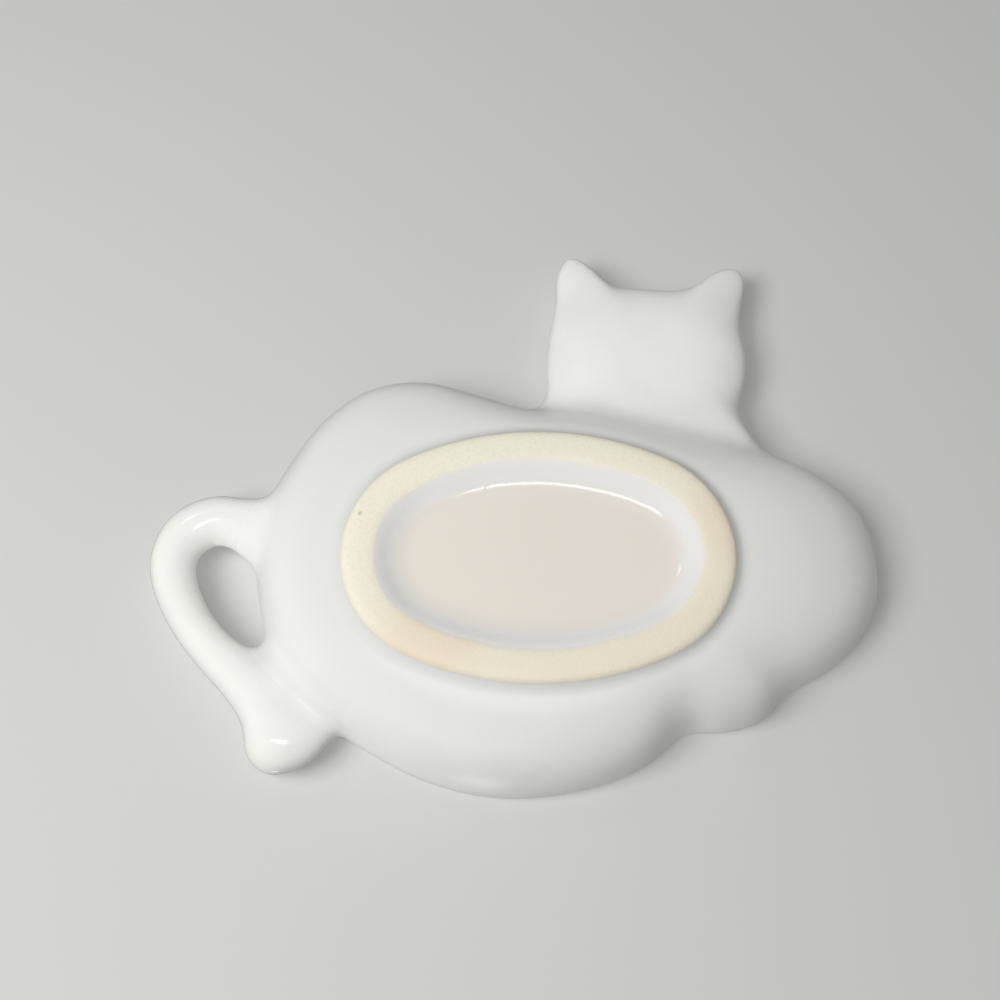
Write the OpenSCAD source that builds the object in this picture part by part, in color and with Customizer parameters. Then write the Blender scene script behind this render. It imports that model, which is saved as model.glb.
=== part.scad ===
// Tea bag rest in the shape of a lying cat, as it stands on the table.
// The body is a shallow dish, the head a flat lobe with two ears at its rim,
// the tail bends round into a finger loop, and an oval foot ring carries it all.
// White glaze all over, and bare clay where the foot meets the table.

/* [Dish] */
// Length of the dish from the chest to the rump
dish_length = 104; // [96:1:114]
// Width of the dish from the haunch to the belly
dish_width = 72; // [68:1:80]
// Height of the rim above the table
dish_height = 20; // [18:0.5:24]
// Thickness of the side wall and of its round rim
wall = 4; // [3:0.25:5]
// Thickness of the clay above the foot
floor_thickness = 4.4; // [3.5:0.1:6]

/* [Foot ring] */
// Outside length of the foot ring
foot_length = 62; // [56:1:68]
// Outside width of the foot ring
foot_width = 42; // [38:1:46]
// Width of the band of clay that stands on the table
foot_band = 5.6; // [4:0.2:7]
// Height of the foot ring
foot_height = 2; // [1.6:0.1:3.2]
// Rounding of the outer edge of the foot ring
foot_edge_radius = 1.2; // [0.4:0.1:1.6]
// How much deeper than the foot ring the hollow inside it is
recess_depth = 0.4; // [0.3:0.1:1.2]
// Width of the slope from the foot ring down to the floor of that hollow
recess_slope = 4; // [3:0.2:7]

/* [Head] */
// Width of the head across the cheeks
head_width = 35; // [31:1:39]
// Length of the head from the middle of the rim to the tips of the ears
head_length = 30; // [27:1:34]
// Thickness of the head through its middle
head_thickness = 10; // [8:0.5:11]
// Height of the middle of the head above the table
head_middle = 13.8; // [12.5:0.1:14.5]
// How much fuller the back of the neck is where it runs into the dish
neck_fill = 3.4; // [1:0.2:4.4]
// How far the muzzle stands out of the face
muzzle_rise = 0.8; // [0.5:0.1:1.2]
// Radius of the muzzle
muzzle_radius = 5; // [4:0.25:6]
// Depth of the hollow in each ear
ear_hollow = 1; // [0.4:0.1:1.4]
// Radius of the hollow in each ear
ear_hollow_radius = 3.2; // [2.5:0.1:4]

/* [Tail] */
// How far the tail loop stands out from the rump
loop_width = 16; // [14:0.5:19]
// Length of the tail loop from its root to the tip of the tail
loop_length = 38; // [35:0.5:41]
// Width of the tail in its long stretch
tail_width = 7; // [6:0.2:8]
// Height of the tail's section
tail_height = 7.6; // [6.4:0.2:8.4]
// Height of the middle of the tail above the table
tail_middle = 13.4; // [12.5:0.1:14.5]

/* [Hidden] */

glaze_colour = "#ecebe6";
clay_colour = "#e6dfca";

// Counts that set how fine the curved faces are
outline_steps = 4;
cove_steps = 3;
slope_steps = 5;
skirt_steps = 7;
rim_steps = 6;
well_steps = 6;
head_steps = 3;
pillow_steps = 6;
tail_steps = 3;
tip_steps = 4;
tail_sides = 16;
edge_steps = 2;

// How full the curves are: 2 is an ellipse, more is squarer, and 1 is straight
skirt_fullness = 2.1;
neck_fullness = 1.5;
pillow_fullness = 3.6;
// How fast the outline of the ears and cheeks fades towards the middle of the head
ear_hold = 4.5;

// Outline of the dish in shares of half its length and half its width, from the
// middle of the foot ring, anticlockwise from the rump seen from above
dish_shares = [
    [0.895, 0.06], [0.88, 0.35], [0.80, 0.60], [0.695, 0.82], // rump
    [0.55, 0.975], [0.375, 1.01], [0.195, 0.93], [0.01, 0.85], // haunch
    [-0.20, 0.87], [-0.41, 0.84], [-0.60, 0.75], // under the head
    [-0.775, 0.64], [-0.93, 0.52], [-1.05, 0.34], // shoulder
    [-1.09, 0.08], [-1.07, -0.12], [-1.00, -0.28], [-0.895, -0.41], // chest
    [-0.77, -0.51], [-0.69, -0.63], [-0.57, -0.68], [-0.445, -0.69], // paw
    [-0.31, -0.845], [-0.11, -0.945], [0.135, -0.97], // belly
    [0.37, -0.885], [0.59, -0.71], [0.77, -0.53], [0.85, -0.27], // hind leg
];

// Points of that outline between which the head and the tail have their seats
head_seat = [5, 13];
tail_seat = [-4, 3];

// Middle of the head, in the same shares, and how far it lies beyond that point
// in shares of its own length
head_place_shares = [-0.375, 0.87];
head_reach_share = 0.36;

// Outline of the head in shares of half its width and of its length,
// anticlockwise from the cheek
head_shares = [
    [1.00, -0.05], [0.955, 0.14], [0.90, 0.32], // cheek
    [0.87, 0.49], [0.745, 0.62], [0.57, 0.52], // ear
    [0.39, 0.41], [-0.06, 0.375], [-0.46, 0.385], // crown
    [-0.75, 0.50], [-0.92, 0.537], [-1.01, 0.47], // ear
    [-0.98, 0.31], [-0.93, 0.14], [-0.98, -0.04], // cheek
    [-0.95, -0.22], [-0.86, -0.39], [-0.96, -0.56], [-1.02, -0.76], // neck
    [0.00, -0.88], [1.12, -0.76], [1.12, -0.53], [1.02, -0.35], [1.00, -0.20], // neck
];
// Half sizes of the plain egg shape that the pillow's inner rings run to: across,
// towards the crown and towards the neck
head_core_shares = [0.92, 0.37, 0.75];
// Inner rings of the pillow
inner_ring_shares = [0.5, 0.36, 0.22, 0.06];
// Where the fuller neck starts and where it is full, down from the head's middle
neck_shares = [0.3, 0.6];
muzzle_shares = [-0.03, -0.12];
ear_hollow_shares = [[0.70, 0.46], [-0.82, 0.42]];

// Middle line of the tail in shares of the loop's width and length, then the
// half widths outside and inside the loop in shares of the tail's width, and
// last the half height in shares of the tail's height
tail_shares = [
    [-0.75, 0.02, 0.64, 1.50, 0.60],
    [-0.42, 0.02, 0.54, 1.34, 0.56],
    [-0.06, 0.01, 0.48, 1.12, 0.53],
    [0.14, 0.005, 0.49, 0.76, 0.51],
    [0.36, 0.005, 0.53, 0.64, 0.50],
    [0.65, 0.07, 0.53, 0.62, 0.50],
    [0.78, 0.22, 0.50, 0.57, 0.49],
    [0.63, 0.405, 0.48, 0.50, 0.48],
    [0.33, 0.58, 0.49, 0.48, 0.49],
    [-0.03, 0.73, 0.54, 0.70, 0.52],
    [-0.28, 0.86, 0.61, 1.12, 0.55],
    [-0.41, 0.99, 0.76, 1.32, 0.56],
];
tail_root_shares = [0.912, 0.30];
tip_share = 0.75;

// Foot oval: two end arcs and two side arcs that run into each other. The end
// arcs have this share of half the foot's width as their radius
end_round_share = 0.86;
half_length = foot_length / 2;
half_width = foot_width / 2;
foot_end_radius = end_round_share * half_width;
end_centre = half_length - foot_end_radius;
end_rise = half_width - foot_end_radius;
side_centre = (end_centre * end_centre - end_rise * end_rise) / (2 * end_rise);
side_radius = side_centre + half_width;
switch_angle = atan2(side_centre, end_centre);

// Heights of the dish
rim_radius = wall / 2;
rim_level = dish_height - rim_radius;
recess_level = foot_height + recess_depth;
well_level = recess_level + floor_thickness;
well_margin = foot_band;
inner_reach = foot_band + recess_slope;
overrun = wall;

// The hollow starts where the flat of the foot ring ends, and its slope turns
// half round on the way to the floor: the foot ring has the first part of it
slope_start = foot_band - foot_edge_radius;
seat_turn = acos(1 - 2 * foot_height / recess_level);
function slope_place(turn) =
    [-slope_start - (inner_reach - slope_start) * turn / 180,
        recess_level * (1 - cos(turn)) / 2];
seat_place = [slope_place(seat_turn).x, foot_height];

// Shares of a size in each direction, as lengths
function placed(share, size) = [share.x * size.x, share.y * size.y];

half_dish = [dish_length / 2, dish_width / 2];
half_head = [head_width / 2, head_length];

// A smooth curve through points of any dimension
function on_curve(a, b, c, d, t) =
    (2 * b + (c - a) * t + (2 * a - 5 * b + 4 * c - d) * t * t
        + (3 * b - a - 3 * c + d) * t * t * t) / 2;
function closed_curve(points, steps) =
    let (n = len(points))
    [for (i = [0:n - 1]) for (s = [0:steps - 1])
        on_curve(points[(i + n - 1) % n], points[i], points[(i + 1) % n],
            points[(i + 2) % n], s / steps)];
function open_curve(points, steps) =
    let (last = len(points) - 1)
    [for (i = [0:last - 1]) for (s = [0:steps - (i == last - 1 ? 0 : 1)])
        on_curve(points[max(i - 1, 0)], points[i], points[i + 1],
            points[min(i + 2, last)], s / steps)];

dish_outline = closed_curve([for (s = dish_shares) placed(s, half_dish)], outline_steps);
columns = len(dish_outline);

// The whole part stands with the middle of its base at the origin
head_place = placed(head_place_shares, half_dish) + [0, head_reach_share * head_length];
tail_root = placed(tail_root_shares, half_dish);
ear_tip_share = max([for (s = head_shares) s.y]);
left_end = min([for (p = dish_outline) p.x]);
right_end = tail_root.x + loop_width;
front_end = min([for (p = dish_outline) p.y]);
back_end = head_place.y + ear_tip_share * head_length;
middle = [(left_end + right_end) / 2, (front_end + back_end) / 2];

// The arc of the foot oval that a point outside it faces: its centre and radius
function facing_arc(p) =
    atan2(abs(p.y), abs(p.x) - end_centre) < switch_angle
        ? [[sign(p.x) * end_centre, 0], foot_end_radius]
        : [[0, -sign(p.y) * side_centre], side_radius];

// A point of the dish in column i: reach is measured square to the foot oval
// from its outer edge, and the outline lies at the column's full reach
function full_reach(i) =
    let (p = dish_outline[(i + columns) % columns], arc = facing_arc(p))
    norm(p - arc[0]) - arc[1];
function dish_point(i, place) =
    let (p = dish_outline[(i + columns) % columns], arc = facing_arc(p),
        out = (p - arc[0]) / norm(p - arc[0]), q = arc[0] + out * (arc[1] + place[0]))
    [q.x, q.y, place[1]];

// Sections of the dish as reach and height. The skirt is straighter at the neck
function quarter(t, fullness) =
    [pow(sin(90 * t), 2 / fullness), 1 - pow(cos(90 * t), 2 / fullness)];
function fullness_at(i) =
    let (t = (i / outline_steps - head_seat[0]) / (head_seat[1] - head_seat[0]),
        share = t > 0 && t < 1 ? pow(sin(180 * t), 2) : 0)
    skirt_fullness + (neck_fullness - skirt_fullness) * share;
function cove_section() =
    [for (k = [0:cove_steps - 1]) slope_place(180 - (180 - seat_turn) * k / cove_steps)];
function skirt_section(i) =
    [for (k = [0:skirt_steps]) let (q = quarter(k / skirt_steps, fullness_at(i)))
        [full_reach(i) * q.x, foot_height + (rim_level - foot_height) * q.y]];
function rim_section(reach, sweep) =
    [for (k = [1:rim_steps * sweep / 180]) let (a = 180 * k / rim_steps)
        [reach - rim_radius + rim_radius * cos(a), rim_level + rim_radius * sin(a)]];
function well_section(reach) =
    [for (k = [well_steps - 1:-1:0]) let (q = quarter(k / well_steps, skirt_fullness))
        [(reach - wall + well_margin) * q.x - well_margin,
            well_level + (rim_level - well_level) * q.y]];
function dish_section(i) =
    let (reach = full_reach(i))
    concat(cove_section(), [seat_place], skirt_section(i), rim_section(reach, 180),
        well_section(reach));

// Triangles between closed rings of points, each ring with count points, and
// in a loop also between the last ring and the first
function wall_faces(rings, count, loop) =
    [for (j = [0:rings - (loop ? 1 : 2)]) for (i = [0:count - 1])
        let (k = (j + 1) % rings, next = (i + 1) % count,
            a = j * count + i, b = j * count + next, c = k * count + next, d = k * count + i)
        each [[a, c, b], [a, d, c]]];
function first_cap(count) = [[for (i = [0:count - 1]) i]];
function last_cap(rings, count) = [[for (i = [count - 1:-1:0]) (rings - 1) * count + i]];
function turned(faces) = [for (f = faces) [for (i = [len(f) - 1:-1:0]) f[i]]];

// A closed skin over rings of points, with a flat cap at each end or as a loop
module skin(rings, inside_out = false, loop = false) {
    count = len(rings[0]);
    walls = wall_faces(len(rings), count, loop);
    faces = loop ? walls : concat(walls, first_cap(count), last_cap(len(rings), count));
    polyhedron([for (ring = rings) each ring], inside_out ? turned(faces) : faces);
}

// The shallow dish that is the cat's body, from the recess under it to the well
module dish_body() {
    levels = len(dish_section(0));
    skin([for (j = [0:levels - 1])
        [for (i = [0:columns - 1]) dish_point(i, dish_section(i)[j])]]);
}

// The space that the dish and its well take up along a seat, for cutting the
// head and the tail to the skirt and the rim
module dish_space(seat) {
    top = dish_height + overrun;
    skin([for (i = [seat[0] * outline_steps:seat[1] * outline_steps])
        let (reach = full_reach(i))
        [for (place = concat([[-inner_reach, foot_height]], skirt_section(i),
            rim_section(reach, 90), [[reach - rim_radius, top], [-inner_reach, top]]))
            dish_point(i, place)]], inside_out = true);
}

module dish()
    color(glaze_colour)
        translate(-middle)
            dish_body();

// A rounded rise of height 1 at a place, fading out over a radius
function rise(p, place, radius) = exp(-pow(norm(p - place) / radius, 2));
function face_relief(p) =
    muzzle_rise * rise(p, placed(muzzle_shares, half_head), muzzle_radius)
    - ear_hollow * max([for (s = ear_hollow_shares)
        rise(p, placed(s, half_head), ear_hollow_radius)]);

// The head as a flat pillow from the back up to the face: its rings start at the
// outline and grow rounder inwards, so that the ears lie lower than the middle
function pillow_point(p, spread) =
    let (core = [head_core_shares[0] * half_head.x,
            head_core_shares[p.y > 0 ? 1 : 2] * half_head.y],
        inward = 1 / norm([p.x / core.x, p.y / core.y]), hold = pow(spread, ear_hold))
    p * spread * (hold + inward * (1 - hold));
function pillow_level(spread) =
    head_thickness / 2 * sqrt(1 - pow(spread, pillow_fullness));
// How much of the neck's filling a point has, growing towards the dish
function neck_share(p) =
    pow(min(max((-p.y / head_length - neck_shares[0]) / (neck_shares[1] - neck_shares[0]),
        0), 1), 2);
function pillow_ring(outline, spread, face) =
    [for (p = outline) let (q = pillow_point(p, spread), level = pillow_level(spread),
        seen = spread > min(inner_ring_shares) ? q : [0, 0],
        extra = face ? face_relief(seen) : neck_fill * neck_share(q))
        [q.x, q.y, (face ? level : -level) * (1 + extra * 2 / head_thickness)]];
module head_pillow() {
    outline = closed_curve([for (s = head_shares) placed(s, half_head)], head_steps);
    edge = [for (k = [0:pillow_steps]) pow(cos(60 * k / pillow_steps), 2 / pillow_fullness)];
    spreads = concat(edge, inner_ring_shares);
    rings = len(spreads);
    skin(concat([for (k = [rings - 1:-1:1]) pillow_ring(outline, spreads[k], false)],
        [for (k = [0:rings - 1]) pillow_ring(outline, spreads[k], true)]));
}

module head()
    color(glaze_colour)
        translate(-middle)
            difference() {
                translate([head_place.x, head_place.y, head_middle]) head_pillow();
                dish_space(head_seat);
            }

// Stations along the tail as lengths, and a rounded end beyond the last
tail_stations = [for (s = open_curve(tail_shares, tail_steps))
    [s[0] * loop_width, -s[1] * loop_length, s[2] * tail_width, s[3] * tail_width,
        s[4] * tail_height]];
function station_point(s) = [s[0], s[1]];
function tail_heading(i) =
    let (last = len(tail_stations) - 1,
        way = station_point(tail_stations[min(i + 1, last)])
            - station_point(tail_stations[max(i - 1, 0)]))
    way / norm(way);

// One ring of the tail: an egg-shaped section, wider inside the loop where it
// joins the body
function tail_ring(middle_point, heading, outside, inside, height) =
    let (sideways = [heading.y, -heading.x])
    [for (i = [0:tail_sides - 1]) let (a = 360 * i / tail_sides,
        across = cos(a) * (cos(a) < 0 ? outside : inside),
        p = middle_point + sideways * across)
        [p.x, p.y, -height * sin(a)]];

module tail_loop() {
    last = len(tail_stations) - 1;
    end = tail_stations[last];
    heading = tail_heading(last);
    rings = [for (i = [0:last]) let (s = tail_stations[i])
        tail_ring(station_point(s), tail_heading(i), s[2], s[3], s[4])];
    tip = [for (k = [1:tip_steps]) let (a = 90 * k / (tip_steps + 1))
        tail_ring(station_point(end) + heading * tip_share * tail_width * sin(a), heading,
            end[2] * cos(a), end[3] * cos(a), end[4] * cos(a))];
    skin(concat(rings, tip));
}

module tail_handle()
    color(glaze_colour)
        translate(-middle)
            difference() {
                translate([tail_root.x, tail_root.y, tail_middle]) tail_loop();
                dish_space(tail_seat);
            }

// Section of the foot ring as reach and height: its outer edge is rounded, and
// the slope of the hollow starts at its inner edge
function foot_section() =
    concat([[0, foot_height]],
        [for (k = [0:edge_steps]) let (a = 90 * k / edge_steps)
            foot_edge_radius * [cos(a) - 1, 1 - sin(a)]],
        [for (k = [0:slope_steps - 1]) slope_place(seat_turn * k / slope_steps)],
        [seat_place]);

module foot_ring()
    color(clay_colour)
        translate(-middle)
            skin([for (place = foot_section())
                [for (i = [0:columns - 1]) dish_point(i, place)]], inside_out = true, loop = true);

dish();
head();
tail_handle();
foot_ring();
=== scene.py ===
import math

import bpy
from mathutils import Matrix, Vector
from mathutils.bvhtree import BVHTree
from mathutils.kdtree import KDTree


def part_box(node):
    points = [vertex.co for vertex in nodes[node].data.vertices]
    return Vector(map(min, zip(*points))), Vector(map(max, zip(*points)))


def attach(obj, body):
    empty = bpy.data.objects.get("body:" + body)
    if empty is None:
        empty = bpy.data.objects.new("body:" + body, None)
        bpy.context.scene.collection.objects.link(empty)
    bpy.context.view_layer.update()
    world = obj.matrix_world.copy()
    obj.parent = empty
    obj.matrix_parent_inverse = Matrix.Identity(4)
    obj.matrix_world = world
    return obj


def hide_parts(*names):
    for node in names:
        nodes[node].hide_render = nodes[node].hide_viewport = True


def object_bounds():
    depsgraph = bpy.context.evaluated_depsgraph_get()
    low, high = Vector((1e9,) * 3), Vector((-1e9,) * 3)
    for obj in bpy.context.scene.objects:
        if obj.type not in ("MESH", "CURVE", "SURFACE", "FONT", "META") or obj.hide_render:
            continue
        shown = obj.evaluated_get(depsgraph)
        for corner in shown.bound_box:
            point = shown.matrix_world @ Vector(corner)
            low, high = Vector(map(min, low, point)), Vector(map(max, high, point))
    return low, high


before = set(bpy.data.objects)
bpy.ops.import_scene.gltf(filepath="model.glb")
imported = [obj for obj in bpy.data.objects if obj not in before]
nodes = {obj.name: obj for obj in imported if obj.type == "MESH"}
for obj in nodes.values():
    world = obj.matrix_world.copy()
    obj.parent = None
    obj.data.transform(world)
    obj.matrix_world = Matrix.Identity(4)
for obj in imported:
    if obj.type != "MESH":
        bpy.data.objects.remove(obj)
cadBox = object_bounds()
print("frame loaded")


# small helpers

def onlySelect(*pieces):
    bpy.ops.object.select_all(action="DESELECT")
    for piece in pieces:
        piece.select_set(True)
    bpy.context.view_layer.objects.active = pieces[0]


def copied(piece, name):
    copy = bpy.data.objects.new(name, piece.data.copy())
    bpy.context.scene.collection.objects.link(copy)
    return copy


def editAll(piece):
    onlySelect(piece)
    bpy.ops.object.mode_set(mode="EDIT")
    bpy.ops.mesh.select_all(action="SELECT")


def leaveEdit():
    bpy.ops.object.mode_set(mode="OBJECT")


def applyModifier(piece, kind, **settings):
    onlySelect(piece)
    modifier = piece.modifiers.new(kind.lower(), kind)
    for name, value in settings.items():
        setattr(modifier, name, value)
    bpy.ops.object.modifier_apply(modifier=modifier.name)


def selectFaces(piece, wanted):
    onlySelect(piece)
    bpy.ops.object.mode_set(mode="EDIT")
    bpy.ops.mesh.select_all(action="DESELECT")
    bpy.ops.mesh.select_mode(type="FACE")
    bpy.ops.object.mode_set(mode="OBJECT")
    for face in piece.data.polygons:
        face.select = wanted(face)
    bpy.ops.object.mode_set(mode="EDIT")


# camera: the dish lies on its rim, and its underside is seen

view = {
    "place": (0.00266, -0.0925, -0.21832),
    "tilt": 22,
    "turn": 180,
    "lens": 54,
    "sensor": 36,
    "nearest": 0.005,
}

bpy.ops.object.camera_add(
    location=view["place"],
    rotation=(math.radians(view["tilt"]), math.radians(view["turn"]), 0))
camera = bpy.context.object
camera.name = "camera"
camera.data.lens = view["lens"]
camera.data.sensor_width = view["sensor"]
camera.data.clip_start = view["nearest"]
bpy.context.scene.camera = camera


# floors: one under the foot, one under the rim when it lies on its face

floors = {
    "size": 2.6,
    "standing": 0.0,
    "lying": cadBox[1][2],
    "colour": (0.62, 0.62, 0.61, 1),
}


def floorMaterial():
    material = bpy.data.materials.new("paleFloor")
    material.use_nodes = True
    tree = material.node_tree
    tree.nodes.clear()
    out = tree.nodes.new("ShaderNodeOutputMaterial")
    mix = tree.nodes.new("ShaderNodeMixShader")
    side = tree.nodes.new("ShaderNodeNewGeometry")
    clear = tree.nodes.new("ShaderNodeBsdfTransparent")
    plain = tree.nodes.new("ShaderNodeBsdfDiffuse")
    plain.inputs["Color"].default_value = floors["colour"]
    tree.links.new(side.outputs["Backfacing"], mix.inputs["Fac"])
    tree.links.new(plain.outputs["BSDF"], mix.inputs[1])
    tree.links.new(clear.outputs["BSDF"], mix.inputs[2])
    tree.links.new(mix.outputs["Shader"], out.inputs["Surface"])
    return material


floorFinish = floorMaterial()
for name, height, turn in (("standingFloor", floors["standing"], 0),
                           ("lyingFloor", floors["lying"], math.pi)):
    bpy.ops.object.select_all(action="DESELECT")
    bpy.ops.mesh.primitive_plane_add(size=floors["size"], location=(0, 0, height),
                                     rotation=(turn, 0, 0))
    floor = bpy.context.object
    floor.name = name
    floor.data.materials.append(floorFinish)
    floor.visible_diffuse = False
    floor.visible_glossy = False
    floor.visible_transmission = False
    floor.visible_shadow = False


# lamps

lamps = {
    # name: place, length and width, watts, seen in the glaze
    "lowKey": ((0.22, -0.11, -0.36), (0.22, 0.22), 1.24, False),
    "lowStrip": ((0.045, -0.12, -0.70), (0.32, 0.075), 0.72, True),
    "lowGlint": ((0.22, 0.28, -0.52), (0.05, 0.05), 0.07, True),
    "highKey": ((0.30, -0.35, 0.75), (0.45, 0.45), 3.3, False),
    "highFill": ((-0.45, 0.30, 0.65), (0.6, 0.6), 0.9, False),
    "highGlint": ((0.12, -0.62, 0.52), (0.14, 0.14), 0.3, True),
}


def addLamp(name, place, size, watts, shows):
    bpy.ops.object.light_add(type="AREA", location=place)
    lamp = bpy.context.object
    lamp.name = name
    lamp.rotation_euler = Vector(place).to_track_quat("Z", "Y").to_euler()
    lamp.data.shape = "RECTANGLE"
    lamp.data.size, lamp.data.size_y = size
    lamp.data.energy = watts
    lamp.visible_glossy = shows


for name, settings in lamps.items():
    addLamp(name, *settings)

room = {
    "colour": (0.98, 1, 0.99, 1),
    "strength": 0.31,
}

world = bpy.data.worlds.new("paleRoom")
bpy.context.scene.world = world
world.use_nodes = True
background = world.node_tree.nodes["Background"]
background.inputs["Color"].default_value = room["colour"]
background.inputs["Strength"].default_value = room["strength"]

bpy.context.scene.view_settings.view_transform = "Standard"
print("camera, floors and lamps placed")


# clay: the four parts are pressed together, and their joints are smoothed

clay = {
    "weld": 0.000002,
    "quadAngle": math.radians(50),
    "voxel": 0.00047,
    "quickVoxel": 0.0006,
    "levels": 2,           # how often the facets are divided and rounded
    "plug": 0.0012,        # how far a seat goes into the dish before the parts are joined
    "touching": 0.00006,   # faces nearer than this to the dish are its seats
    "plump": 0.0002,       # given back at the sides of head and tail, which smoothing takes
    "earPlump": 0.0007,    # and at the tips of the ears
    "earLevel": 0.0385,    # the ears begin here
    "earFade": 0.005,      # and get their full share this much farther up
    # radius of the clay wiped into each joint, and in how many steps
    "neckFillet": (0.0029, 2),
    "tailFillet": (0.0015, 2),
    "ringFillet": (0.0008, 1),
    "smoothing": 0.5,
    "growBack": -0.53,     # a pass out, which undoes the shrinking of a pass in
    "evenPasses": 4,
    "lastPasses": 2,
    "jointReach": 0.007,   # how far from a joint its smoothing goes
    "neckPasses": 22,
    "tailPasses": 29,
    "ringPasses": 4,
    "hollowPasses": 50,
    "ringParting": 0.0007,  # how far off the dish's face the foot ring is cut again
    "parting": 0.0018,      # and the same for the head and the tail
    "partingStart": 1.25,   # the reach from the foot's middle where the first begins to turn
    "partingFade": 0.3,     # into the second, and how much farther out it has done so
    "partingVoxel": 0.0007,
}


def wetCopy(name):
    part = copied(nodes[name], name + "Wet")
    part.data.materials.clear()
    editAll(part)
    bpy.ops.mesh.remove_doubles(threshold=clay["weld"])
    bpy.ops.mesh.tris_convert_to_quads(face_threshold=clay["quadAngle"],
                                       shape_threshold=clay["quadAngle"])
    leaveEdit()
    return part


def pushSeat(part, against):
    # the faces that lie on the dish go a little way into it
    surface = surfaceTree(against)
    selectFaces(part, lambda face: nearDistance(surface, face.center) < clay["touching"])
    bpy.ops.mesh.extrude_region_shrink_fatten(
        TRANSFORM_OT_shrink_fatten={"value": clay["plug"]})
    leaveEdit()


def surfaceTree(piece):
    mesh = piece.data
    return BVHTree.FromPolygons([vertex.co for vertex in mesh.vertices],
                                [face.vertices for face in mesh.polygons])


def nearDistance(tree, place):
    return tree.find_nearest(place)[3]


dishWet = wetCopy("dish")
headWet = wetCopy("head")
tailWet = wetCopy("tail_handle")
ringWet = wetCopy("foot_ring")
pushSeat(headWet, dishWet)
pushSeat(tailWet, dishWet)
pushSeat(ringWet, dishWet)
for part in (dishWet, headWet, tailWet, ringWet):
    applyModifier(part, "SUBSURF", levels=clay["levels"])
    print(part.name, len(part.data.polygons))


def joined(first, second, name):
    whole = copied(first, name)
    onlySelect(whole, copied(second, name))
    bpy.ops.object.join()
    return whole


def voxels(piece, size=None):
    applyModifier(piece, "REMESH", mode="VOXEL", voxel_size=size or clay["voxel"], adaptivity=0)


def swell(piece, amount, group=""):
    applyModifier(piece, "DISPLACE", vertex_group=group, direction="NORMAL", strength=amount,
                  mid_level=0)


def fillCorners(piece, radius, steps):
    # grown and shrunk back, which leaves a fillet in every inner corner
    for amount in [radius / steps] * steps + [-radius / steps] * steps:
        swell(piece, amount)
        voxels(piece)


def smooth(piece, passes, group=""):
    applyModifier(piece, "SMOOTH", vertex_group=group, factor=clay["smoothing"],
                  iterations=passes)


def even(piece, passes):
    # smooths without shrinking: each pass in is followed by one out
    for turn in range(passes):
        smooth(piece, 1)
        applyModifier(piece, "SMOOTH", factor=clay["growBack"], iterations=1)


def nearGroup(piece, target, reach, name):
    group = piece.vertex_groups.new(name=name)
    group.add(range(len(piece.data.vertices)), 1.0, "REPLACE")
    applyModifier(piece, "VERTEX_WEIGHT_PROXIMITY", vertex_group=name, target=target,
                  proximity_mode="GEOMETRY", proximity_geometry={"FACE"}, falloff_type="SMOOTH",
                  min_dist=reach, max_dist=reach / 2)


def jointGroup(piece, first, second, reach):
    # weight 1 within half the reach of both parts, and 0 beyond the reach of either
    nearGroup(piece, first, reach, "joint")
    nearGroup(piece, second, reach, "second")
    applyModifier(piece, "VERTEX_WEIGHT_MIX", vertex_group_a="joint", vertex_group_b="second",
                  mix_mode="MUL", mix_set="ALL")
    piece.vertex_groups.remove(piece.vertex_groups["second"])


def joinOn(piece, part, radius, steps):
    whole = joined(piece, part, "lump")
    voxels(whole)
    fillCorners(whole, radius, steps)
    if piece is not dishWet:
        bpy.data.objects.remove(piece)
    return whole


def plump(part, amount, tipAmount):
    # to the sides only, more towards the tips of the ears
    group = part.vertex_groups.new(name="sides")
    most = max(amount, tipAmount)
    for vertex in part.data.vertices:
        rise = min(max((vertex.co.y - clay["earLevel"]) / clay["earFade"], 0), 1)
        wanted = amount + (tipAmount - amount) * rise
        group.add([vertex.index], vertex.normal.xy.length * wanted / most, "REPLACE")
    swell(part, most, "sides")
    part.vertex_groups.clear()


plump(headWet, clay["plump"], clay["earPlump"])
plump(tailWet, clay["plump"], clay["plump"])
lump = joinOn(dishWet, headWet, *clay["neckFillet"])
lump = joinOn(lump, tailWet, *clay["tailFillet"])
lump = joinOn(lump, ringWet, *clay["ringFillet"])
even(lump, clay["evenPasses"])
for part, passes in ((headWet, clay["neckPasses"]), (tailWet, clay["tailPasses"]),
                     (ringWet, clay["ringPasses"])):
    jointGroup(lump, dishWet, part, clay["jointReach"])
    smooth(lump, passes, "joint")
    lump.vertex_groups.clear()


# the slope of the hollow under the dish runs softly into its floor

foot = {
    "halfLength": 0.0282,  # of the oval along the middle of the foot ring
    "halfWidth": 0.0182,
    "hollowTop": 0.005,    # the hollow lies below this
    "hollowEdge": 0.9,     # and within this reach from the foot's middle
    "hollowFade": 0.08,
}
footLow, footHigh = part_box("foot_ring")
footMiddle = (Vector(footLow) + Vector(footHigh)) / 2


def ovalReach(place):
    # 0 in the middle of the foot, 1 on the middle of its ring, more outside it
    way = place - footMiddle
    return math.hypot(way.x / foot["halfLength"], way.y / foot["halfWidth"])


group = lump.vertex_groups.new(name="hollow")
for vertex in lump.data.vertices:
    reach = ovalReach(vertex.co)
    if vertex.co.z < foot["hollowTop"] and reach < foot["hollowEdge"]:
        share = min((foot["hollowEdge"] - reach) / foot["hollowFade"], 1)
        group.add([vertex.index], share, "REPLACE")
smooth(lump, clay["hollowPasses"], "hollow")
lump.vertex_groups.clear()
even(lump, clay["lastPasses"])
print("joints filled and smoothed,", len(lump.data.polygons), "faces")


# face: closed eyes, a nose, a mouth and whisker dimples, on the upper side of the head

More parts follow.
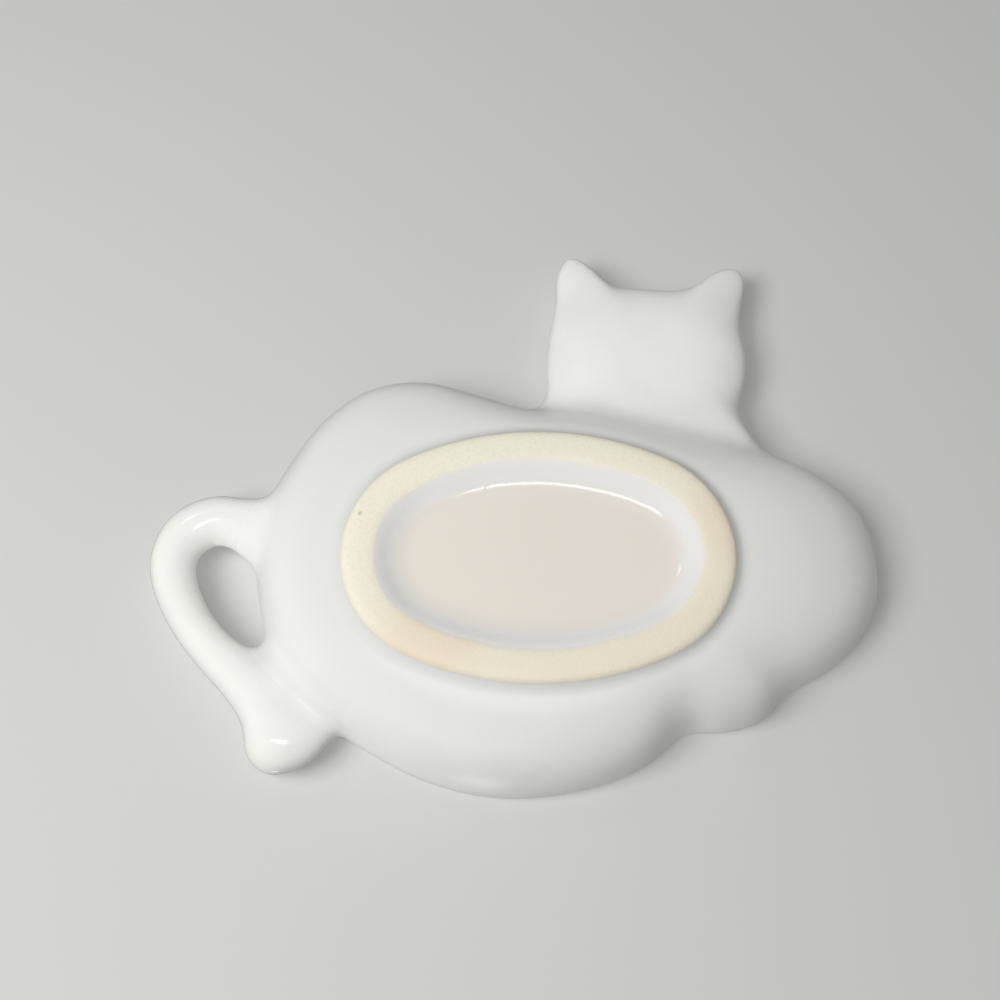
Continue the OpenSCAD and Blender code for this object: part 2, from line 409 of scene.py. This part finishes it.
face = {
    "middle": (-0.0232, 0.0280),
    "level": 0.0150,        # only what lies above this is touched
    "reach": 0.0125,
    "lineWidth": 0.00042,
    "lineDepth": 0.00042,
    # arcs as middle, radius, and start and end in degrees
    "eyes": (((-0.0311, 0.0330), 0.0027, 200, 340), ((-0.0153, 0.0334), 0.0027, 200, 340)),
    "mouth": (((-0.0247, 0.0250), 0.0014, 185, 350), ((-0.0219, 0.0250), 0.0014, 190, 355)),
    "nose": (-0.0233, 0.0276),
    "noseSize": (0.0017, 0.0010),
    "noseFlare": 0.45,      # how much wider it is above, and narrower below
    "noseLeast": 0.0003,
    "noseRise": 0.00045,
    "dimples": ((-0.0288, 0.0262), (-0.0297, 0.0241), (-0.0176, 0.0264), (-0.0167, 0.0243)),
    "dimpleWidth": 0.0004,
    "dimpleDepth": 0.0003,
    "leastWeight": 0.002,
    "cuts": 2,              # each mesh face under the drawing is cut this often
    "quickCuts": 1,
    "cutSmoothness": 0.5,
}


def arcDistance(place, arc):
    middle, radius, start, end = arc
    way = place - Vector(middle)
    turn = math.degrees(math.atan2(way.y, way.x)) % 360
    turn = math.radians(min(max(turn, start), end))
    return (way - radius * Vector((math.cos(turn), math.sin(turn)))).length


def fade(distance, width):
    return math.exp(-(distance / width) ** 2)


def lineShare(place):
    return max(fade(arcDistance(place, arc), face["lineWidth"])
               for arc in face["eyes"] + face["mouth"])


def noseShare(place):
    # a rounded triangle, wide above and narrow below
    way = place - Vector(face["nose"])
    halfWidth, halfHeight = face["noseSize"]
    across = halfWidth * (1 + face["noseFlare"] * way.y / halfHeight)
    return fade(math.hypot(way.x / max(across, face["noseLeast"]), way.y / halfHeight) ** 2, 1)


def dimpleShare(place):
    return max(fade((place - Vector(dot)).length, face["dimpleWidth"]) for dot in face["dimples"])


def onFace(place):
    away = (place.xy - Vector(face["middle"])).length
    return place.z > face["level"] and away < face["reach"]


def pressed(piece, share, amount):
    group = piece.vertex_groups.new(name="pressed")
    for vertex in piece.data.vertices:
        if onFace(vertex.co):
            weight = share(vertex.co.xy)
            if weight > face["leastWeight"]:
                group.add([vertex.index], weight, "REPLACE")
    swell(piece, amount, "pressed")
    piece.vertex_groups.clear()


selectFaces(lump, lambda facet: onFace(facet.center))
bpy.ops.mesh.subdivide(number_cuts=face["cuts"],
                       smoothness=face["cutSmoothness"])
leaveEdit()
pressed(lump, lineShare, -face["lineDepth"])
pressed(lump, noseShare, face["noseRise"])
pressed(lump, dimpleShare, -face["dimpleDepth"])
onlySelect(lump)
bpy.ops.object.shade_smooth()
print("face pressed in,", len(lump.data.polygons), "faces")


# where glaze gathers and painted shade darkens creases and joints: how far each point lies below
# the smoothed form around it

glazeRun = {
    "spread": 43,          # smoothing passes that give the form around a point
    "full": 0.00012,       # this far below it counts as a full hollow
    "nearest": 4,          # points of the lump that a point of a piece takes its mean from
    "leastDistance": 1e-7,
}


def hollows(piece):
    level = copied(piece, "level")
    smooth(level, glazeRun["spread"])
    found = [(after.co - before.co).dot(before.normal) / glazeRun["full"]
             for before, after in zip(piece.data.vertices, level.data.vertices)]
    bpy.data.objects.remove(level)
    return [max(-1, min(1, depth)) for depth in found]


lumpHollows = hollows(lump)
lumpPoints = KDTree(len(lump.data.vertices))
for vertex in lump.data.vertices:
    lumpPoints.insert(vertex.co, vertex.index)
lumpPoints.balance()


def storeHollows(piece):
    # a point between the lump's points takes a mean of the nearest ones
    store = piece.data.attributes.new("hollow", "FLOAT", "POINT")
    for vertex in piece.data.vertices:
        found = [(lumpHollows[index], 1 / (distance + glazeRun["leastDistance"]))
                 for place, index, distance in lumpPoints.find_n(vertex.co, glazeRun["nearest"])]
        store.data[vertex.index].value = (sum(depth * share for depth, share in found)
                                          / sum(share for depth, share in found))


# the lump is parted again just off the dish's face

parting = copied(dishWet, "parting")
group = parting.vertex_groups.new(name="off")
for vertex in parting.data.vertices:
    away = (ovalReach(vertex.co) - clay["partingStart"]) / clay["partingFade"]
    away = min(max(away, 0), 1)
    off = clay["ringParting"] + (clay["parting"] - clay["ringParting"]) * away
    group.add([vertex.index], off / clay["parting"], "REPLACE")
swell(parting, clay["parting"], "off")
parting.vertex_groups.clear()
voxels(parting, clay["partingVoxel"])


def cut(name, operation):
    piece = copied(lump, name)
    applyModifier(piece, "BOOLEAN", object=parting, operation=operation, solver="EXACT")
    return piece


dish = cut("dishGlazed", "INTERSECT")
rest = cut("rest", "DIFFERENCE")
editAll(rest)
bpy.ops.mesh.separate(type="LOOSE")
leaveEdit()
loose = [piece for piece in bpy.context.selected_objects if piece.name.startswith("rest")]


def middleOf(piece):
    points = piece.data.vertices
    return sum((point.co for point in points), Vector()) / len(points)


# the three largest are head, tail and ring, and whatever else the cut left is thrown away
loose.sort(key=lambda piece: -len(piece.data.polygons))
loose, crumbs = loose[:3], loose[3:]
for crumb in crumbs:
    bpy.data.objects.remove(crumb)
head = max(loose, key=lambda piece: middleOf(piece).y)
tail = max(loose, key=lambda piece: middleOf(piece).x)
ring = min(loose, key=lambda piece: middleOf(piece).z)
head.name, tail.name, ring.name = "headGlazed", "tailGlazed", "footRing"

for piece in (dish, head, tail, ring):
    onlySelect(piece)
    bpy.ops.object.shade_smooth()
    applyModifier(piece, "DATA_TRANSFER", object=lump, use_loop_data=True,
                  data_types_loops={"CUSTOM_NORMAL"}, loop_mapping="POLYINTERP_NEAREST")
    storeHollows(piece)
for part in (dishWet, headWet, tailWet, ringWet, lump, parting):
    bpy.data.objects.remove(part)
print("parted into dish, head, tail and foot ring")


# finishes

glazeLook = {
    "clean": (0.88, 0.875, 0.845, 1),
    # greyer glaze in hollows, creases and joints: partly pooled glaze, partly painted shade
    "gatheredAndShade": (0.71, 0.715, 0.69, 1),
    "thin": (0.885, 0.87, 0.83, 1),
    "poolRim": (0.81, 0.80, 0.785, 1),    # cool glaze that ran down the slope of the hollow
    "poolFloor": (0.79, 0.735, 0.66, 1),  # warm grey on the floor of the hollow
    "poolLevels": (0.0015, 0.0024),       # from the slope's tone to the floor's
    "poolReach": (1.1, 0.95),             # it ends here, as a reach from the foot's middle
    "poolTop": (0.006, 0.005),            # and at this height
    "footwardLevels": (0.001, 0.0085),         # greyer and darker towards the foot
    "footwardShares": (0.75, 0.0),
    "hollowShare": 0.6,
    "cloudScale": 70.0,
    "cloudDetail": 3.0,
    "cloudRoughness": 0.5,
    "cloudRange": (0.35, 0.7),
    "gatherAndShadeRange": (0.1, 1.0),
    "thinRange": (-0.25, -1.0),
    "cloud": 0.25,
    "dots": {"Cells": 160.0, "Share": 0.05, "Size": 0.1},
    "dotShare": 0.4,
    "pits": {"Cells": 220.0, "Share": 0.12, "Size": 0.09},
    "pitShare": 0.3,
    "waves": {"Waves": 110.0, "Skin": 700.0, "Skin_share": 0.12},
    "bump": {"Strength": 0.35, "Distance": 0.0003},
    "satin": 0.34,
    "glossy": 0.11,
    # glossy on the tail: how far from the foot, towards +X and towards -Y, and on what faces up
    "tailReach": (1.50, 2.15),
    "tailAlong": (0.020, 0.040),
    "tailAcross": (0.010, 0.000),
    "facingUp": (-0.1, 0.4),
}
clayLook = {
    "dry": (0.87, 0.83, 0.69, 1),
    "grain": (0.80, 0.755, 0.62, 1),
    "blush": (0.82, 0.68, 0.53, 1),
    "speck": (0.36, 0.31, 0.26, 1),
    "warm": (0.81, 0.75, 0.61, 1),
    "grainNoise": {"Scale": 1500.0, "Detail": 3.0, "Roughness": 0.7},
    "grainRange": (0.42, 0.85),
    "driftNoise": {"Scale": 90.0, "Detail": 2.0},
    # paler towards the haunch, warmer towards the belly and the chest
    "warmWay": (0.5, 0.87, 0),
    "warmRange": (0.006, -0.040),
    # place and reach of each blush
    "blushPlaces": (((0.0146, -0.0284, 0), 0.012), ((-0.0341, -0.0077, 0), 0.010)),
    "dots": {"Cells": 330.0, "Share": 0.14, "Size": 0.13},
    "dotShare": 0.45,
    # the glaze line: low on the inner slope, higher on the outer side, and never quite even
    "lineReach": (0.97, 1.05),
    "lineLevels": (0.00026, 0.00095),
    "lineDrift": 0.0005,
    "lineSoft": (-0.00010, 0.00022),
    "cloud": 0.3,
    "roughness": (0.88, 0.12),            # of the bare clay, and of the glaze that runs onto it
    "skin": {"Waves": 160.0, "Skin": 1900.0, "Skin_share": 0.75},
    "pitShare": 0.6,
    "bumpShares": (1.0, 0.25),            # the same two again
    "bump": {"Strength": 0.5, "Distance": 0.0002},
}
speckLook = {
    "randomness": 0.9,
    "least": 0.02,
    "soft": 0.5,
}
rippleLook = {
    "wavesDetail": 1.0,
    "skinDetail": 2.0,
}


def newGroup(name, inputs, outputs):
    group = bpy.data.node_groups.new(name, "ShaderNodeTree")
    for label, kind, value in inputs:
        socket = group.interface.new_socket(name=label, in_out="INPUT", socket_type=kind)
        socket.default_value = value
    for label, kind in outputs:
        group.interface.new_socket(name=label, in_out="OUTPUT", socket_type=kind)
    return group, group.nodes.new("NodeGroupInput"), group.nodes.new("NodeGroupOutput")


def fill(tree, socket, value):
    # with a link from another node, or a plain value
    if isinstance(value, bpy.types.NodeSocket):
        tree.links.new(value, socket)
    else:
        socket.default_value = value


def add(tree, kind, settings=(), **values):
    # values go by the socket's name, or by its number as i0, i1 and so on
    node = tree.nodes.new("ShaderNode" + kind)
    for name, value in dict(settings).items():
        setattr(node, name, value)
    for name, value in values.items():
        fill(tree, node.inputs[int(name[1:])] if name[1:].isdigit() else node.inputs[name], value)
    return node


def maths(tree, operation, first, second=0.0):
    return add(tree, "Math", {"operation": operation}, i0=first, i1=second).outputs[0]


def ramp(tree, value, low, high, start=0.0, end=1.0):
    node = add(tree, "MapRange", {"interpolation_type": "SMOOTHSTEP"}, i0=value, i1=low, i2=high,
               i3=start, i4=end)
    return node.outputs[0]


def product(tree, first, second):
    return maths(tree, "MULTIPLY", first, second)


def blended(tree, share, first, second):
    # inputs 6 and 7 and output 2 are the ones for colours
    node = add(tree, "Mix", {"data_type": "RGBA"}, i0=share, i6=first, i7=second)
    return node.outputs[2]


def objectPlace(tree):
    return tree.nodes.new("ShaderNodeTexCoord").outputs["Object"]


def speckGroup():
    # small round specks: only some of the cells have one
    group, given, result = newGroup(
        "specks",
        (("Cells", "NodeSocketFloat", 400.0), ("Share", "NodeSocketFloat", 0.2),
         ("Size", "NodeSocketFloat", 0.2)),
        (("Mask", "NodeSocketFloat"),))
    cells = add(group, "TexVoronoi", Vector=objectPlace(group), Scale=given.outputs["Cells"],
                Randomness=speckLook["randomness"])
    chance = add(group, "SeparateColor", Color=cells.outputs["Color"])
    chosen = maths(group, "LESS_THAN", chance.outputs[0], given.outputs["Share"])
    size = product(group, given.outputs["Size"], chance.outputs[1])
    size = maths(group, "ADD", size, speckLook["least"])
    spot = maths(group, "SUBTRACT", 1.0,
                 maths(group, "DIVIDE", cells.outputs["Distance"], size))
    spot = ramp(group, spot, 0.0, speckLook["soft"])
    group.links.new(product(group, spot, chosen), result.inputs["Mask"])
    return group


def toneGroup():
    # clean glaze, cooler and darker where it gathers in hollows, creases and joints, partly
    # pooled glaze and partly painted shade, and warmer where it thins over an edge
    group, given, result = newGroup(
        "glazeToneAndShade",
        (("Hollow", "NodeSocketFloat", 0.0), ("Clean", "NodeSocketColor", (0.8, 0.8, 0.8, 1)),
         ("Gathered", "NodeSocketColor", (0.7, 0.7, 0.7, 1)),
         ("Thin", "NodeSocketColor", (0.8, 0.8, 0.7, 1)), ("Run", "NodeSocketFloat", 0.0),
         ("Cloud", "NodeSocketFloat", 0.3)),
        (("Color", "NodeSocketColor"),))
    slow = add(group, "TexNoise", Vector=objectPlace(group), Scale=glazeLook["cloudScale"],
               Detail=glazeLook["cloudDetail"], Roughness=glazeLook["cloudRoughness"])
    cloud = product(group, ramp(group, slow.outputs["Fac"], *glazeLook["cloudRange"]),
                    given.outputs["Cloud"])
    # greyer and darker towards the foot, and in slow clouds
    tone = blended(group, maths(group, "MAXIMUM", cloud, given.outputs["Run"]),
                   given.outputs["Clean"], given.outputs["Gathered"])
    # painted shade and gathered glaze in hollows, creases and joints
    tone = blended(group, ramp(group, given.outputs["Hollow"], *glazeLook["gatherAndShadeRange"]), tone,
                   given.outputs["Gathered"])
    tone = blended(group, ramp(group, given.outputs["Hollow"], *glazeLook["thinRange"]), tone,
                   given.outputs["Thin"])
    group.links.new(tone, result.inputs["Color"])
    return group


def rippleGroup():
    # slow waves of the hand-smoothed clay, and the fine skin of the fired surface
    group, given, result = newGroup(
        "ripple",
        (("Waves", "NodeSocketFloat", 120.0), ("Skin", "NodeSocketFloat", 900.0),
         ("Skin share", "NodeSocketFloat", 0.2)),
        (("Height", "NodeSocketFloat"),))
    place = objectPlace(group)
    waves = add(group, "TexNoise", Vector=place, Scale=given.outputs["Waves"],
                Detail=rippleLook["wavesDetail"])
    skin = add(group, "TexNoise", Vector=place, Scale=given.outputs["Skin"],
               Detail=rippleLook["skinDetail"])
    height = add(group, "Mix", {"data_type": "FLOAT"}, i0=given.outputs["Skin share"],
                 i2=waves.outputs["Fac"], i3=skin.outputs["Fac"])
    group.links.new(height.outputs[0], result.inputs["Height"])
    return group


def ovalGroup():
    # 0 in the middle of the foot, 1 on the middle of its ring, more outside it
    group, given, result = newGroup(
        "footOval",
        (("Half length", "NodeSocketFloat", foot["halfLength"]),
         ("Half width", "NodeSocketFloat", foot["halfWidth"])),
        (("Reach", "NodeSocketFloat"), ("Level", "NodeSocketFloat")))
    place = add(group, "SeparateXYZ", Vector=objectPlace(group))
    along = maths(group, "DIVIDE", maths(group, "SUBTRACT", place.outputs[0], footMiddle[0]),
                  given.outputs["Half length"])
    across = maths(group, "DIVIDE", maths(group, "SUBTRACT", place.outputs[1], footMiddle[1]),
                   given.outputs["Half width"])
    reach = maths(group, "SQRT", maths(group, "ADD", product(group, along, along),
                                       product(group, across, across)))
    group.links.new(reach, result.inputs["Reach"])
    group.links.new(place.outputs[2], result.inputs["Level"])
    return group


specks, glazeToneAndShade, ripple, footOval = speckGroup(), toneGroup(), rippleGroup(), ovalGroup()


def use(tree, group, **values):
    node = tree.nodes.new("ShaderNodeGroup")
    node.node_tree = group
    for name, value in values.items():
        fill(tree, node.inputs[name.replace("_", " ")], value)
    return node


def newMaterial(name):
    material = bpy.data.materials.new(name)
    material.use_nodes = True
    return material, material.node_tree


def glazeColour(tree, cloud, level):
    hollow = add(tree, "Attribute", {"attribute_name": "hollow"}).outputs["Fac"]
    # greyer and darker towards the foot
    footward = ramp(tree, level, *glazeLook["footwardLevels"], *glazeLook["footwardShares"])
    # the hollow attribute darkens creases and joints: gathered glaze with painted shade
    tone = use(tree, glazeToneAndShade, Hollow=product(tree, hollow, glazeLook["hollowShare"]), Run=footward,
               Clean=glazeLook["clean"], Gathered=glazeLook["gatheredAndShade"],
               Thin=glazeLook["thin"], Cloud=cloud)
    return tone.outputs["Color"]


def pooled(tree, colour, reach, level):
    # the hollow under the dish: cool down its slope, warm grey on its floor
    floorShare = ramp(tree, level, *glazeLook["poolLevels"])
    pool = blended(tree, floorShare, glazeLook["poolRim"], glazeLook["poolFloor"])
    under = product(tree, ramp(tree, reach, *glazeLook["poolReach"]),
                    ramp(tree, level, *glazeLook["poolTop"]))
    return blended(tree, under, colour, pool), under


def glossShare(tree, under, reach):
    # glossy on top, on the tail and in the hollow under the dish, satin on the skirt
    coords = tree.nodes.new("ShaderNodeTexCoord")
    place = add(tree, "SeparateXYZ", Vector=coords.outputs["Object"])
    facing = add(tree, "SeparateXYZ", Vector=coords.outputs["Normal"])
    tail = product(tree, ramp(tree, reach, *glazeLook["tailReach"]),
                   product(tree, ramp(tree, place.outputs[0], *glazeLook["tailAlong"]),
                           ramp(tree, place.outputs[1], *glazeLook["tailAcross"])))
    upper = ramp(tree, facing.outputs[2], *glazeLook["facingUp"])
    return maths(tree, "MAXIMUM", maths(tree, "MAXIMUM", under, tail), upper)


def glazeMaterial():
    material, tree = newMaterial("whiteGlaze")
    shader = tree.nodes["Principled BSDF"]
    oval = use(tree, footOval)
    reach, level = oval.outputs["Reach"], oval.outputs["Level"]
    colour, under = pooled(tree, glazeColour(tree, glazeLook["cloud"], level), reach, level)
    dots = use(tree, specks, **glazeLook["dots"]).outputs["Mask"]
    colour = blended(tree, product(tree, dots, glazeLook["dotShare"]), colour, clayLook["speck"])
    tree.links.new(colour, shader.inputs["Base Color"])
    rough = ramp(tree, glossShare(tree, under, reach), 0.0, 1.0,
                 glazeLook["satin"], glazeLook["glossy"])
    tree.links.new(rough, shader.inputs["Roughness"])
    waves = use(tree, ripple, **glazeLook["waves"])
    pits = use(tree, specks, **glazeLook["pits"]).outputs["Mask"]
    height = maths(tree, "SUBTRACT", waves.outputs["Height"],
                   product(tree, pits, glazeLook["pitShare"]))
    bump = add(tree, "Bump", Height=height, **glazeLook["bump"])
    tree.links.new(bump.outputs["Normal"], shader.inputs["Normal"])
    return material


def clayMaterial():
    material, tree = newMaterial("bareClay")
    shader = tree.nodes["Principled BSDF"]
    place = objectPlace(tree)
    oval = use(tree, footOval)
    reach, level = oval.outputs["Reach"], oval.outputs["Level"]
    grain = add(tree, "TexNoise", Vector=place, **clayLook["grainNoise"])
    colour = blended(tree, ramp(tree, grain.outputs["Fac"], *clayLook["grainRange"]),
                     clayLook["dry"], clayLook["grain"])
    drift = add(tree, "TexNoise", Vector=place, **clayLook["driftNoise"]).outputs["Fac"]
    side = add(tree, "VectorMath", {"operation": "DOT_PRODUCT"}, i0=place,
               i1=clayLook["warmWay"]).outputs["Value"]
    colour = blended(tree, ramp(tree, side, *clayLook["warmRange"]), colour, clayLook["warm"])
    for middle, size in clayLook["blushPlaces"]:
        distance = add(tree, "VectorMath", {"operation": "DISTANCE"}, i0=place,
                       i1=middle).outputs["Value"]
        near = product(tree, ramp(tree, distance, size, size / 3), drift)
        colour = blended(tree, near, colour, clayLook["blush"])
    dots = use(tree, specks, **clayLook["dots"]).outputs["Mask"]
    colour = blended(tree, product(tree, dots, clayLook["dotShare"]), colour, clayLook["speck"])
    line = maths(tree, "ADD", ramp(tree, reach, *clayLook["lineReach"], *clayLook["lineLevels"]),
                 product(tree, maths(tree, "SUBTRACT", drift, 0.5), clayLook["lineDrift"]))
    glazed = ramp(tree, maths(tree, "SUBTRACT", level, line), *clayLook["lineSoft"])
    cover, under = pooled(tree, glazeColour(tree, clayLook["cloud"], level), reach, level)
    tree.links.new(blended(tree, glazed, colour, cover), shader.inputs["Base Color"])
    tree.links.new(ramp(tree, glazed, 0.0, 1.0, *clayLook["roughness"]),
                   shader.inputs["Roughness"])
    skin = use(tree, ripple, **clayLook["skin"])
    height = maths(tree, "SUBTRACT", skin.outputs["Height"],
                   product(tree, dots, clayLook["pitShare"]))
    height = product(tree, height, ramp(tree, glazed, 0.0, 1.0, *clayLook["bumpShares"]))
    bump = add(tree, "Bump", Height=height, **clayLook["bump"])
    tree.links.new(bump.outputs["Normal"], shader.inputs["Normal"])
    return material


glaze = glazeMaterial()
biscuit = clayMaterial()
print("finishes made")

for piece, node, finish, slot in ((dish, "dish", glaze, "white_glaze"),
                                  (head, "head", glaze, "white_glaze"),
                                  (tail, "tail_handle", glaze, "white_glaze"),
                                  (ring, "foot_ring", biscuit, "bare_clay")):
    piece.data.materials.clear()
    piece.data.materials.append(finish)
    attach(piece, "root")
    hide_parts(node)
    print(piece.name, len(piece.data.polygons), "faces")
